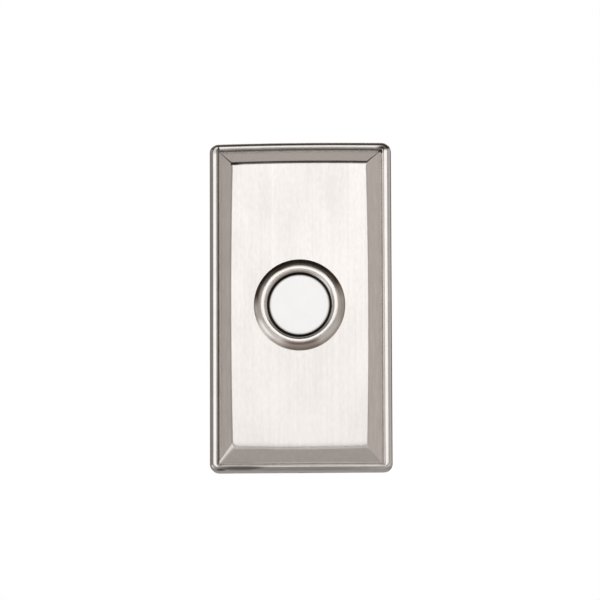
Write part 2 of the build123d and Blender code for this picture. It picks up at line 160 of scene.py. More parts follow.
def new_finish(name, colour, roughness, metallic=0.0):
    """Material with one main shader, set to its middle values."""
    material = bpy.data.materials.new(name)
    material.use_nodes = True
    shader = material.node_tree.nodes["Principled BSDF"]
    shader.inputs["Base Color"].default_value = (*colour, 1)
    shader.inputs["Roughness"].default_value = roughness
    shader.inputs["Metallic"].default_value = metallic
    return material, material.node_tree, shader


bpy.ops.object.select_all(action="DESELECT")
bpy.ops.mesh.primitive_circle_add(
    vertices=FLOOR_SIDES, radius=FLOOR_RADIUS, fill_type="NGON", location=(0, 0, FLOOR_LEVEL)
)
floor = bpy.context.object
floor.name = "studio_floor"
floor.data.materials.append(new_finish("pale_floor", FLOOR_TONE, FLOOR_ROUGHNESS)[0])
print("floor level in mm:", FLOOR_LEVEL / MM)

# %% [markdown]
# ## The background
#
# The background is a trick of the studio. A picture for a catalogue is cut out on white, so rays
# from the camera find white, while the metal itself still mirrors a dim room. Like every finish
# below, it is a small tree of nodes: each input is set to a value or linked to another node.

# %% Background
ROOM_GREY = 0.04


def feed(tree, socket, source):
    """Links the output of a node to a socket, or sets the socket to a plain value."""
    if isinstance(source, bpy.types.NodeSocket):
        tree.links.new(source, socket)
    else:
        socket.default_value = source


def add_node(tree, kind, inputs=None, **settings):
    """New node with its settings, and with its inputs fed by their names or numbers."""
    node = tree.nodes.new(kind)
    for name, setting in settings.items():
        setattr(node, name, setting)
    for name, source in (inputs or {}).items():
        feed(tree, node.inputs[name], source)
    return node


scene.world = bpy.data.worlds.new("studio_room")
scene.world.use_nodes = True
room = scene.world.node_tree
room.nodes.clear()
grey = add_node(room, "ShaderNodeBackground", {"Color": (ROOM_GREY, ROOM_GREY, ROOM_GREY, 1)})
white = add_node(room, "ShaderNodeBackground", {"Color": (1, 1, 1, 1)})
choose = add_node(room, "ShaderNodeMixShader", {
    "Fac": add_node(room, "ShaderNodeLightPath").outputs["Is Camera Ray"],
    1: grey.outputs["Background"],
    2: white.outputs["Background"],
})
add_node(room, "ShaderNodeOutputWorld", {"Surface": choose.outputs["Shader"]})
print("tone of the room:", ROOM_GREY)

# %% [markdown]
# ## Grain for the finishes
#
# No finish is one flat colour. Each is built from a few layers of noise on the piece's own
# coordinates: a layer stretched long and thin is brushing, an even one is casting or moulding
# skin. Layers are added up round one half, so that more layers don't make a finish lighter.

# %% Grain
NOISE_ENDS = (0.3, 0.7)


def own_space(tree):
    """Place in the piece's own space, in metres."""
    return add_node(tree, "ShaderNodeTexCoord").outputs["Object"]


def remap(tree, value, old_ends, new_ends, **settings):
    """Moves a value from one stretch of numbers to another."""
    sockets = ("Value", "From Min", "From Max", "To Min", "To Max")
    inputs = dict(zip(sockets, (value, *old_ends, *new_ends)))
    return add_node(tree, "ShaderNodeMapRange", inputs, **settings).outputs["Result"]


def grain(tree, scale, detail=3.0):
    """Noise in the piece's own space, with a scale per metre on each axis; gives its value."""
    stretch = add_node(tree, "ShaderNodeMapping", {"Vector": own_space(tree), "Scale": scale})
    inputs = {"Vector": stretch.outputs["Vector"], "Scale": 1.0, "Detail": detail}
    return add_node(tree, "ShaderNodeTexNoise", inputs).outputs[0]


def layered_grain(tree, layers):
    """Several grains added up round one half, each with its scale, its share and its detail."""
    total = 0.5
    for scale, share, detail in layers:
        noise = grain(tree, scale, detail)
        part = remap(tree, noise, (0, 1), (-share / 2, share / 2), clamp=False)
        add = add_node(tree, "ShaderNodeMath", {0: part, 1: total}, operation="ADD")
        total = add.outputs["Value"]
    return total


print("most of the noise lies between", *NOISE_ENDS)

# %% [markdown]
# ## What a grain can do
#
# The same grain can change the roughness, shift the colour and raise a fine relief. Brushed metal
# needs all three: a scratch is a little darker, a little duller and a little deeper.

# %% Uses of a grain
FINE_RELIEF = 0.002 * MM


def vary(tree, value, socket, low, high):
    """Lets a grain move a number socket between two ends."""
    feed(tree, socket, remap(tree, value, NOISE_ENDS, (low, high)))


def tint(tree, value, dark, light, ends=NOISE_ENDS):
    """Turns a grain into a colour between a darker and a lighter tone."""
    ramp = add_node(tree, "ShaderNodeValToRGB", {"Fac": value})
    for stop, place, tone in zip(ramp.color_ramp.elements, ends, (dark, light)):
        stop.position = place
        stop.color = (*tone, 1)
    return ramp.outputs["Color"]


def relief(tree, value, shader, depth=FINE_RELIEF):
    """Raises a grain as a fine relief, with its depth in metres."""
    bump = add_node(tree, "ShaderNodeBump", {"Height": value, "Strength": 1.0, "Distance": depth})
    feed(tree, shader.inputs["Normal"], bump.outputs["Normal"])


print("usual depth of a relief in mm:", FINE_RELIEF / MM)

# %% [markdown]
# ## Painted shade spots
#
# The plate has spots of painted shade. Dark ovals in its corners and along the lower bead stand
# in for shade and dark reflections there, and one dims part of the bead's highlight. Each is a soft
# oval seen from the front, given by its middle, its half width and half height and its strength,
# and it falls on whatever faces lie there.

# %% Painted shade spots on the plate
SHADE_SPOT_CORE = 0.3
# painted shade: dark ovals that stand in for shade and dark reflections on the plate
SHADE_SPOTS = {
    "upper left notch": ((-17.15, 33.3), (0.36, 1.25), 0.97),
    "upper left bead": ((-18.0, 33.3), (0.9, 1.3), 0.4),
    "upper right streak": ((17.6, 33.42), (1.95, 0.78), 0.95),
    "upper right corner": ((17.0, 32.65), (0.6, 0.5), 0.9),
    "lower left corner": ((-16.7, -34.12), (1.8, 0.36), 0.92),
    "panel corner": ((-13.9, 29.8), (2.3, 0.36), 0.95),
    "lower bead": ((0.0, -33.95), (30.0, 0.6), 0.58),
    "lower left shade band": ((-12.5, -33.82), (9.0, 0.7), 0.88),
}


def length(tree, node):
    """Length of the vector that a node gives."""
    inputs = {0: node.outputs["Vector"]}
    return add_node(tree, "ShaderNodeVectorMath", inputs, operation="LENGTH").outputs["Value"]


def shade_spot(tree, place, half_size, strength):
    """Soft oval of painted shade on the front, with its middle and half size given in mm."""
    oval = add_node(tree, "ShaderNodeMapping", {
        "Vector": own_space(tree),
        "Location": (place[0] * MM, 0, place[1] * MM),
        "Scale": (half_size[0] * MM, 1, half_size[1] * MM),
    }, vector_type="TEXTURE")
    reach = length(tree, oval)
    core_to_edge = (SHADE_SPOT_CORE, 1.0)
    return remap(tree, reach, core_to_edge, (strength, 0.0), interpolation_type="SMOOTHSTEP")


print("painted_shade_spots:", len(SHADE_SPOTS))

# %% [markdown]
# ## Satin nickel
#
# The plate is brass under a nickel plate. Its panel is brushed up and down, its bevels are a
# shade rougher, and the bead along the edge and the ring round the button are polished brighter.
# Shade is painted in as well: in the groove beside the bead, round the ring and in a few spots a
# brown stands in for the shade and dark reflections there. So the finish mixes the tone of the
# metal with a brown, by the painted shade that is set on the points of the piece or laid on in
# spots.

# %% Satin nickel
NICKEL_DARK = (0.66, 0.63, 0.605)
NICKEL_LIGHT = (0.77, 0.735, 0.71)
# painted shade: a brown, and a near black where it is deepest
SHADE_BROWN = (0.07, 0.058, 0.05)
DEEP_SHADE_BROWN = (0.02, 0.016, 0.013)
DEEP_ENDS = (0.9, 1.0)
NICKEL_DRIFT = 0.025


def nickel_finish(
    name, layers, roughness, depth, tones=(NICKEL_DARK, NICKEL_LIGHT), spots=(), brown=SHADE_BROWN
):
    """Nickel plate with layers of grain, darker where shade is painted on its points or in spots.
    """
    material, tree, shader = new_finish(name, NICKEL_LIGHT, roughness, 1.0)
    streaks = layered_grain(tree, layers)
    # painted shade, read from the points of the piece and then from the spots
    painted_shade = add_node(tree, "ShaderNodeAttribute", attribute_name="painted_shade").outputs["Fac"]
    for spot in spots:
        both = {0: painted_shade, 1: shade_spot(tree, *SHADE_SPOTS[spot])}
        painted_shade = add_node(tree, "ShaderNodeMath", both, operation="MAXIMUM").outputs["Value"]
    blend = add_node(tree, "ShaderNodeMix", data_type="RGBA")
    feed(tree, blend.inputs["Factor"], painted_shade)
    feed(tree, blend.inputs["A"], tint(tree, streaks, *tones))
    feed(tree, blend.inputs["B"], tint(tree, painted_shade, brown, DEEP_SHADE_BROWN, DEEP_ENDS))
    feed(tree, shader.inputs["Base Color"], blend.outputs["Result"])
    rough = shader.inputs["Roughness"]
    vary(tree, streaks, rough, roughness - NICKEL_DRIFT, roughness + NICKEL_DRIFT)
    relief(tree, streaks, shader, depth)
    return material


print("tones of the nickel:", NICKEL_DARK, NICKEL_LIGHT)

# %% [markdown]
# ## Nickel of each part
#
# Every part of the plate was worked in its own way, so each gets its own layers of grain: streaks
# and clouds on the brushed panel, coarser brushing on the bevels, a soft polish on bead and ring,
# and the skin of the forging on the back. A layer has a scale on each axis, a share and a detail;
# a finish has its layers, its roughness and the depth of its relief.

# %% Finishes of plate and ring
RING_TONES = ((0.75, 0.72, 0.695), (0.85, 0.82, 0.79))
# brown of the painted shade on the ring
RING_SHADE_BROWN = (0.16, 0.10, 0.065)
LONG_STREAKS = ((1800, 1800, 20), 0.26, 0.5)
SHORT_STREAKS = ((1700, 1700, 700), 0.42, 1.0)
CLOUDS = ((150, 150, 60), 0.9, 2.0)
BEVEL_BRUSHING = ((1100, 1100, 260), 0.6, 2.0)
BEAD_POLISH = ((500, 500, 300), 0.5, 3.0)
FORGED_SKIN = ((700, 700, 700), 1.3, 3.0)
RING_POLISH = ((420, 420, 420), 0.5, 3.0)
PANEL_BRUSHING = (LONG_STREAKS, SHORT_STREAKS, CLOUDS)
BEAD_SPOTS = [name for name in SHADE_SPOTS if name != "panel corner"]
panel_nickel = nickel_finish(
    "panel_nickel", PANEL_BRUSHING, 0.20, 0.0008 * MM, spots=("panel corner",)
)
bevel_nickel = nickel_finish(
    "bevel_nickel", (BEVEL_BRUSHING,), 0.24, 0.0012 * MM, spots=("upper right corner",)
)
bead_nickel = nickel_finish("bead_nickel", (BEAD_POLISH,), 0.15, 0.003 * MM, spots=BEAD_SPOTS)
back_nickel = nickel_finish("back_nickel", (FORGED_SKIN,), 0.42, 0.01 * MM)
ring_nickel = nickel_finish(
    "ring_nickel", (RING_POLISH,), 0.24, 0.0015 * MM, RING_TONES, brown=RING_SHADE_BROWN
)
print("painted_shade_spots on the bead:", len(BEAD_SPOTS))

# %% [markdown]
# ## Face plate: the stations
#
# The plate is forged: a bead runs round its edge, a narrow groove follows, and four bevels rise to
# the raised panel. Seen from the front every one of these is a rounded oblong inside the next, so
# the plate can be lofted from rings. All rings share the same stations, counted round from the
# upper right corner: some on each corner's arc, and more along each side, closer near its ends.

# %% Stations round the plate
CORNER_STEPS = 10
END_STEPS = 24
SIDE_STEPS = 40

stations = []
for corner in range(4):
    for step in range(CORNER_STEPS + 1):
        stations.append((corner, step / CORNER_STEPS, 0.0))
    side_steps = END_STEPS if corner % 2 == 0 else SIDE_STEPS
    for step in range(1, side_steps):
        stations.append((corner, 1.0, (1 - math.cos(math.pi * step / side_steps)) / 2))
print("stations on each ring:", len(stations))

# %% [markdown]
# ## Face plate: its sizes
#
# Each ring knows its half width, its top and bottom, its corner radius, its level and how much its
# edges bow. One corner, the lower left, is worn rounder than the others and has a radius of its
# own. The upper edge of the plate and all four edges of the panel bow out a little, as they do on
# hand-finished brass.

# %% Sizes of the face plate
plate_low, plate_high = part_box("face_plate")
HALF_WIDTH = plate_high.x / MM
HALF_HEIGHT = plate_high.z / MM
PANEL_FACE = -plate_low.y / MM
PANEL_WALL = 2.0
SIDES = ("sides", "top", "bottom")
PLATE_CORNER = 1.8
PLATE_BOWS = (0.0, 0.22, 0.0)
BEAD_WIDTH = {"sides": 1.6, "top": 1.3, "bottom": 1.5}
GROOVE_LEVEL = 2.4
GROOVE_WIDTH = 0.12
BEVEL_RUN = {"sides": 3.2, "top": 3.45, "bottom": 3.2}
BEVEL_RISE = PANEL_FACE - GROOVE_LEVEL


def plate_ring(insets, radius, levels, bows=PLATE_BOWS, worn_radius=None):
    """Ring inside the outline of the plate; insets and levels go by sides, top and bottom."""
    size = (
        HALF_WIDTH - insets[0],
        HALF_HEIGHT - bows[1] - insets[1],
        HALF_HEIGHT - bows[2] - insets[2],
        radius,
        worn_radius or radius,
    )
    return {"size": size, "levels": tuple(levels), "bows": bows, "roll": 0.0}


def level_ring(inset, radius, level, bows=PLATE_BOWS):
    """Ring with the same inset and level all round."""
    return plate_ring((inset,) * 3, radius, (level,) * 3, bows)


panel_insets = {side: BEAD_WIDTH[side] + GROOVE_WIDTH + BEVEL_RUN[side] for side in SIDES}
panel_half_width = HALF_WIDTH - panel_insets["sides"]
panel_top = HALF_HEIGHT - panel_insets["top"]
panel_bottom = HALF_HEIGHT - panel_insets["bottom"]
print("panel in mm:", round(2 * panel_half_width, 2), "x", round(panel_top + panel_bottom, 2))

# %% [markdown]
# ## Face plate: bead and groove
#
# The outer side of the bead is a quarter round and its inner side a tighter one. Each ring is
# noted with the finish of the band that leads to it and with the shade painted on it: a little
# where the outer round turns, more and more down the inner round, and most in the groove.

# %% Rings of the bead and the groove
BACK_EDGE = 0.1
BEAD_TOP = 2.9
BEAD_OUTER_ROUND = {"sides": 0.95, "top": 0.95, "bottom": 1.15}
BEAD_INNER_ROUND = 0.3
MITRE_ROUND = 0.06
WORN_ROUND = 0.5
OUTER_STEPS = 10
INNER_STEPS = 6
# painted shade on the outer bead, the inner bead, the groove and the foot of the bevel
OUTER_BEAD_SHADE = 0.4
INNER_BEAD_SHADE = (-0.3, 0.5)
GROOVE_SHADE = 0.75
FOOT_SHADE = 0.7
plate_rings = []


def add_ring(zone, painted_shade, ring):
    """Notes the next ring, the finish of the band that leads to it, and the shade painted on it."""
    plate_rings.append((zone, painted_shade, ring))


add_ring("back", 0.0, level_ring(0, PLATE_CORNER, 0))
add_ring("bead", 0.0, level_ring(0, PLATE_CORNER, BACK_EDGE))
for step in range(OUTER_STEPS + 1):
    tilt = math.radians(90 * step / OUTER_STEPS)
    insets = [BEAD_OUTER_ROUND[side] * (1 - math.cos(tilt)) for side in SIDES]
    levels = [BEAD_TOP - BEAD_OUTER_ROUND[side] * (1 - math.sin(tilt)) for side in SIDES]
    outer_ring = plate_ring(insets, PLATE_CORNER - insets[0], levels)
    add_ring("outer bead", OUTER_BEAD_SHADE * math.sin(2 * tilt), outer_ring)
for step in range(INNER_STEPS + 1):
    tilt = math.radians(90 * step / INNER_STEPS)
    reach = BEAD_INNER_ROUND * (1 - math.sin(tilt))
    insets = [BEAD_WIDTH[side] - reach for side in SIDES]
    levels = (BEAD_TOP - BEAD_INNER_ROUND * (1 - math.cos(tilt)),) * 3
    inner_ring = plate_ring(insets, MITRE_ROUND + reach, levels, worn_radius=WORN_ROUND + reach)
    painted_shade = INNER_BEAD_SHADE[0] + (INNER_BEAD_SHADE[1] - INNER_BEAD_SHADE[0]) * step / INNER_STEPS
    add_ring("bead", max(0.0, painted_shade), inner_ring)
for extra, painted_shade in ((0.0, GROOVE_SHADE), (GROOVE_WIDTH, FOOT_SHADE)):
    insets = [BEAD_WIDTH[side] + extra for side in SIDES]
    levels = (GROOVE_LEVEL,) * 3
    add_ring("bevel", painted_shade, plate_ring(insets, MITRE_ROUND, levels, worn_radius=WORN_ROUND))
foot_ring = plate_rings[-1][2]
print("rings up to the foot of the bevel:", len(plate_rings))

# %% [markdown]
# ## Face plate: bevel and panel
#
# The rings go on up the bevel and over the rounded edge of the panel. The edge is crisp along the
# sides and the top. Along the bottom the polishing wheel stayed longer, so there the panel also
# rolls down a little before its edge. A few of the bevel's rings carry the last of the painted
# shade.

# %% Rings of the bevel and the panel
PANEL_BOWS = (0.35, 0.2, 0.2)
PANEL_CORNER = 0.3
WORN_PANEL_CORNER = 1.2
EDGE_ROUND = {"sides": 0.8, "top": 1.45, "bottom": 0.9}
EDGE_STEPS = 8
ROLL_WIDTH = 1.55
ROLL_TURN = math.radians(3.4)
ROLL_STEPS = 8
# painted shade on the lowest rings of the bevel
BEVEL_SHADE = ((0.03, 0.4), (0.09, 0.0), (0.5, 0.0))


def panel_ring(share, extra=0.0):
    """Ring on the rounded edge of the panel: share 1 is where it leaves the bevel, 0 the panel."""
    insets, levels = [], []
    for side in SIDES:
        slope = math.atan2(BEVEL_RISE, BEVEL_RUN[side])
        radius = EDGE_ROUND[side]
        insets.append(radius * (math.tan(slope / 2) - math.sin(slope * share)) + extra)
        levels.append(PANEL_FACE - radius * (1 - math.cos(slope * share)))
    size = (
        panel_half_width - insets[0],
        panel_top - insets[1],
        panel_bottom - insets[2],
        PANEL_CORNER,
        WORN_PANEL_CORNER,
    )
    return {"size": size, "levels": tuple(levels), "bows": PANEL_BOWS, "roll": 1.0}


def between(low, high, share):
    """Ring part of the way from one ring to another."""
    mixed = {}
    for key in ("size", "levels", "bows"):
        mixed[key] = tuple(a + (b - a) * share for a, b in zip(low[key], high[key]))
    mixed["roll"] = high["roll"] * share
    return mixed


for share, painted_shade in BEVEL_SHADE:
    add_ring("bevel", painted_shade, between(foot_ring, panel_ring(1.0), share))
for step in range(EDGE_STEPS + 1):
    add_ring("bevel" if step == 0 else "panel", 0.0, panel_ring(1 - step / EDGE_STEPS))
for step in range(1, ROLL_STEPS + 1):
    add_ring("panel", 0.0, panel_ring(0.0, ROLL_WIDTH * step / ROLL_STEPS))
print("rings up to the flat of the panel:", len(plate_rings))

# %% [markdown]
# ## Face plate: hole and hollow back
#
# From the panel the loft goes to the round hole for the button. There it turns inside: down the
# wall of the hole, out along the roof of the hollow back, and down to the wall plane again, where
# it meets its first ring. So the finished plate is one closed skin, like the real forging.

# %% Rings of the hole and the hollow back
HOLE_RADIUS = 8.2
RIM_WALL = 2.6
POCKET_STEP = 1.9
POCKET_MARGIN = 0.9
POCKET_CORNER = 1.0
NO_BOWS = (0.0, 0.0, 0.0)
panel_back = PANEL_FACE - PANEL_WALL
roof_sides = panel_insets["sides"] + POCKET_MARGIN
roof_ends = panel_insets["top"] + POCKET_MARGIN
roof_insets = (roof_sides, roof_ends, roof_ends)

add_ring("panel", 0.0, {"circle": HOLE_RADIUS, "level": PANEL_FACE})
add_ring("back", 0.0, {"circle": HOLE_RADIUS, "level": panel_back})
add_ring("back", 0.0, plate_ring(roof_insets, POCKET_CORNER, (panel_back,) * 3, NO_BOWS))
add_ring("back", 0.0, level_ring(RIM_WALL, POCKET_CORNER, POCKET_STEP, NO_BOWS))
add_ring("back", 0.0, level_ring(RIM_WALL, POCKET_CORNER, 0, NO_BOWS))
add_ring("back", 0.0, level_ring(0, PLATE_CORNER, 0))
print("rings in all:", len(plate_rings))

# %% [markdown]
# ## Face plate: places on the rings
#
# A station's place is found in three moves. It is set on the corner's arc or on the straight side
# after it, then pushed out by the bow of that edge, and last brought to the ring's level, which
# may differ between the sides, the top and the bottom.

# %% Places of the stations
WORN_CORNER = 2
TOP_STATION = CORNER_STEPS + END_STEPS // 2


def corner_point(corner, turn, ring):
    """Point of a ring's corner arc, as right and up in mm; the turn goes from 0 to 1."""
    half_width, top, bottom, radius, worn_radius = ring["size"]
    if corner % 4 == WORN_CORNER:
        radius = worn_radius
    right = half_width - radius
    angle = math.radians(90 * (corner + turn))
    middle_x = right if corner % 4 in (0, 3) else -right
    middle_z = top - radius if corner % 4 in (0, 1) else radius - bottom
    return middle_x + radius * math.cos(angle), middle_z + radius * math.sin(angle)


def roll_drop(inset):
    """How far the panel has rolled down at an inset from its lower edge."""
    depth = max(0.0, ROLL_WIDTH - inset)
    return ROLL_WIDTH * math.tan(ROLL_TURN) / 2 * (depth / ROLL_WIDTH) ** 2


def ring_point(station, ring):
    """Place of a station on a ring, in metres."""
    corner, turn, along = station
    half_width, top, bottom = ring["size"][:3]
    x, z = corner_point(corner, turn, ring)
    if along:
        next_x, next_z = corner_point(corner + 1, 0.0, ring)
        x, z = x + (next_x - x) * along, z + (next_z - z) * along
    bow_sides, bow_top, bow_bottom = ring["bows"]
    height = top if z > 0 else bottom
    bow_end = bow_top if z > 0 else bow_bottom
    bowed_x = x + bow_sides * (x / half_width) * (1 - (z / height) ** 2)
    bowed_z = z + bow_end * (z / height) * (1 - (x / half_width) ** 2)
    at_end = turn if corner % 2 == 0 else 1 - turn
    sides_level, top_level, bottom_level = ring["levels"]
    end_level = top_level if corner in (0, 1) else bottom_level
    level = sides_level + (end_level - sides_level) * at_end
    if ring["roll"]:
        edge = panel_bottom + bow_bottom * (1 - (x / half_width) ** 2)
        level -= ring["roll"] * roll_drop(edge + bowed_z)
    return Vector((bowed_x, -level, bowed_z)) * MM


def station_place(number, ring):
    """Place of a numbered station on a ring of the plate or on the round hole."""
    if "circle" in ring:
        angle = math.radians(90 + 360 * (number - TOP_STATION) / len(stations))
        x, z = ring["circle"] * math.cos(angle), ring["circle"] * math.sin(angle)
        return Vector((x, -ring["level"], z)) * MM
    return ring_point(stations[number], ring)


print("station at the top of the hole:", TOP_STATION)

# %% [markdown]
# ## Face plate: the loft
#
# The loft starts as a circle of loose edges. Each step extrudes the last loop of edges and sets
# the new loop on its ring. Plain insets would cross themselves in the tight corners, which is why
# every loop is set on its own outline instead. The painted shade goes in as a value on every
# point. It is strong on the left and at the top and thins out toward the right and the bottom.

# %% Loft the face plate
# share of the painted shade that is left on each side of the plate
GROOVE_SHARES = {"left": 1.0, "right": 0.1, "top": 1.0, "bottom": 0.35}
BEAD_SHARES = {"left": 1.0, "right": 0.0, "top": 1.0, "bottom": 0.35}


def shade_share(number, shares):
    """How much of a ring's painted shade is left at a station, from its shares on the four sides.
    """
    corner, turn, _ = stations[number]
    at_end = turn if corner % 2 == 0 else 1 - turn
    place = ring_point(stations[number], plate_rings[0][2]) / MM
    rightward = (1 + place.x / HALF_WIDTH) / 2
    upward = (1 + place.z / HALF_HEIGHT) / 2
    on_side = shares["left"] + (shares["right"] - shares["left"]) * rightward
    on_end = shares["bottom"] + (shares["top"] - shares["bottom"]) * upward
    return on_side + (on_end - on_side) * at_end


bpy.ops.object.select_all(action="DESELECT")
bpy.ops.mesh.primitive_circle_add(
    vertices=len(stations), radius=HALF_WIDTH * MM, fill_type="NOTHING"
)
face_plate = bpy.context.object
face_plate.name = "nickel_face_plate"
for name, kind in (("station", "INT"), ("ring", "INT"), ("painted_shade", "FLOAT")):
    face_plate.data.attributes.new(name, kind, "POINT")
for number, station in enumerate(face_plate.data.attributes["station"].data):
    station.value = number
bpy.ops.object.mode_set(mode="EDIT")
for ring_number, (zone, painted_shade, ring) in enumerate(plate_rings):
    if ring_number:
        bpy.ops.mesh.extrude_edges_move()
    loop = bmesh.from_edit_mesh(face_plate.data)
    station_layer = loop.verts.layers.int["station"]
    ring_layer = loop.verts.layers.int["ring"]
    shade_layer = loop.verts.layers.float["painted_shade"]
    shares = BEAD_SHARES if zone == "outer bead" else GROOVE_SHARES
    for vertex in loop.verts:
        if vertex.select:
            number = vertex[station_layer]
            vertex.co = station_place(number, ring)
            vertex[ring_layer] = ring_number
            vertex[shade_layer] = painted_shade * shade_share(number, shares)
    bmesh.update_edit_mesh(face_plate.data)
bpy.ops.object.mode_set(mode="OBJECT")
print("face plate:", len(face_plate.data.polygons), "faces")

# %% [markdown]
# ## Face plate: finishes by zone
#
# Each band of faces takes the finish of the ring that it leads to, which is the higher of the ring
# numbers at its corners. Then the last ring is merged with the first, and the skin is closed.

# %% Finish the zones of the face plate
ZONES = {"panel": 0, "bevel": 1, "bead": 2, "outer bead": 2, "back": 3}
MERGE_REACH = 0.0005 * MM


def pick(piece):
    """Selects one piece and makes it the active one."""
    bpy.ops.object.select_all(action="DESELECT")
    piece.select_set(True)
    bpy.context.view_layer.objects.active = piece


def close_skin(piece, fill=False):
    """Merges doubled points, fills open ends if asked to, and turns all normals outward."""
    pick(piece)
    bpy.ops.object.mode_set(mode="EDIT")
    bpy.ops.mesh.select_all(action="SELECT")
    bpy.ops.mesh.remove_doubles(threshold=MERGE_REACH)
    if fill:
        bpy.ops.mesh.fill_holes(sides=0)
    bpy.ops.mesh.normals_make_consistent(inside=False)
    bpy.ops.object.mode_set(mode="OBJECT")


for finish in (panel_nickel, bevel_nickel, bead_nickel, back_nickel):
    face_plate.data.materials.append(finish)
ring_numbers = [entry.value for entry in face_plate.data.attributes["ring"].data]
for face in face_plate.data.polygons:
    zone = plate_rings[max(ring_numbers[point] for point in face.vertices)][0]
    face.material_index = ZONES[zone]
close_skin(face_plate)
for name in ("station", "ring"):
    face_plate.data.attributes.remove(face_plate.data.attributes[name])
print("points of the closed skin:", len(face_plate.data.vertices))

# %% [markdown]
# ## Face plate: slots for the hooks
#
# Two slots in the upper rim take the hooks of the mounting plate. On the real plate they are
# milled after forging, so here they are cut last too, with blocks in a Boolean modifier.

# %% Cut the slots
SLOT_HALF = 2.8
SLOT_LEVELS = (0.8, 1.9)
SLOT_DEPTH = 1.6
SLOT_SPARE = 0.2
HOOK_OFFSET = 8.0


def combine(piece, tool, operation="DIFFERENCE"):
    """Cuts a tool out of a piece, or adds it to the piece, and removes the tool."""
    pick(piece)
    boolean = piece.modifiers.new("combine", "BOOLEAN")
    boolean.operation = operation
    boolean.solver = "EXACT"
    boolean.object = tool
    bpy.ops.object.modifier_apply(modifier=boolean.name)
    bpy.data.objects.remove(tool, do_unlink=True)


def block(low, high):
    """Plain block between two corners in mm."""
    bpy.ops.object.select_all(action="DESELECT")
    middle = (Vector(low) + Vector(high)) / 2 * MM
    bpy.ops.mesh.primitive_cube_add(size=1, location=middle)
    made = bpy.context.object
    made.scale = (Vector(high) - Vector(low)) * MM
    bpy.ops.object.transform_apply(location=True, rotation=True, scale=True)
    return made


slot_foot = HALF_HEIGHT - RIM_WALL
for side in (-1, 1):
    low = (side * HOOK_OFFSET - SLOT_HALF, -SLOT_LEVELS[1], slot_foot - SLOT_SPARE)
    high = (side * HOOK_OFFSET + SLOT_HALF, -SLOT_LEVELS[0], slot_foot + SLOT_DEPTH)
    combine(face_plate, block(low, high))
print("face plate with slots:", len(face_plate.data.polygons), "faces")

# %% [markdown]
# ## Face plate: screw hole and shading
#
# A hole in the lower edge takes the grub screw, and a plain cylinder drills it. Then the plate is
# shaded smooth, with its crisp edges kept. A weighted normal keeps the flat bands flat right up to
# the rounded edges beside them.

# %% Drill the screw hole and shade the plate
GRUB_FIT = 0.03 * MM
DRILL_SIDES = 32
DRILL_LENGTH = 4.0 * MM
NORMAL_WEIGHT = 80


def smooth_shade(piece, angle=40):
    """Smooth shading with crisp edges, and normals that follow the larger faces."""
    pick(piece)
    bpy.ops.object.shade_smooth_by_angle(angle=math.radians(angle))
    weighted = piece.modifiers.new("weighted", "WEIGHTED_NORMAL")
    weighted.keep_sharp = True
    weighted.weight = NORMAL_WEIGHT
    bpy.ops.object.modifier_apply(modifier=weighted.name)


grub_low, grub_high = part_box("grub_screw")
bpy.ops.object.select_all(action="DESELECT")
bpy.ops.mesh.primitive_cylinder_add(
    vertices=DRILL_SIDES,
    radius=(grub_high.x - grub_low.x) / 2 + GRUB_FIT,
    depth=DRILL_LENGTH,
    location=(0, (grub_low.y + grub_high.y) / 2, -(HALF_HEIGHT - RIM_WALL / 2) * MM),
)
combine(face_plate, bpy.context.object)
smooth_shade(face_plate)
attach(face_plate, "housing")
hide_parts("face_plate")
print("face plate with cuts:", len(face_plate.data.polygons), "faces")

# %% [markdown]
# ## Turning pieces on a lathe
#
# The ring with its barrel and the white cap are round, so they are drawn as half an outline and
# spun once round the axis of the button. The outline is drawn point by point by extruding a
# single vertex, filled for a moment so that its corners can be rounded with the bevel tool, and
# then spun.

# %% Lathe
SPIN_STEPS = 120
ROUND_SEGMENTS = 8


def round_corner(piece, places, number, rounding):
    """Rounds one corner of a filled outline with the bevel tool."""
    here = places[number]
    to_last = (places[number - 1] - here).normalized()
    to_next = (places[(number + 1) % len(places)] - here).normalized()
    reach = rounding / math.tan(to_last.angle(to_next) / 2)
    bpy.ops.mesh.select_all(action="DESELECT")
    outline = bmesh.from_edit_mesh(piece.data)
    nearest = min(outline.verts, key=lambda v: (v.co - here).length)
    nearest.select = True
    bmesh.update_edit_mesh(piece.data)
    bpy.ops.mesh.bevel(offset=reach * MM, segments=ROUND_SEGMENTS, affect="VERTICES")


def lathe(name, corners):
    """Turned piece from (radius, level, rounding) corners in mm, in order round the outline."""
    bpy.ops.object.select_all(action="DESELECT")
    bpy.ops.mesh.primitive_plane_add(size=MM)
    piece = bpy.context.object
    piece.name = name
    bpy.ops.object.mode_set(mode="EDIT")
    bpy.ops.mesh.select_all(action="SELECT")
    bpy.ops.mesh.merge(type="CENTER")
    places = [Vector((radius, -level, 0)) * MM for radius, level, _ in corners]
    bpy.ops.transform.translate(value=places[0])
    for before, place in zip(places, places[1:]):
        bpy.ops.mesh.extrude_vertices_move(TRANSFORM_OT_translate={"value": place - before})
    bpy.ops.mesh.select_all(action="SELECT")
    bpy.ops.mesh.edge_face_add()
    for number, (_, _, rounding) in enumerate(corners):
        if rounding:
            round_corner(piece, places, number, rounding)
    bpy.ops.mesh.select_all(action="SELECT")
    bpy.ops.mesh.delete(type="ONLY_FACE")
    bpy.ops.mesh.select_all(action="SELECT")
    bpy.ops.mesh.spin(steps=SPIN_STEPS, angle=math.tau, center=(0, 0, 0), axis=(0, 1, 0))
    bpy.ops.object.mode_set(mode="OBJECT")
    close_skin(piece)
    return piece


print("steps round a turned piece:", SPIN_STEPS)

# %% [markdown]
# ## Ring and barrel
#
# The ring stands up from the panel with a sloping flank, a rounded crest and a lip that turns
# down toward the cap. Behind the panel it goes on as the threaded barrel, and at the rear a
# groove inside takes the retaining ring.

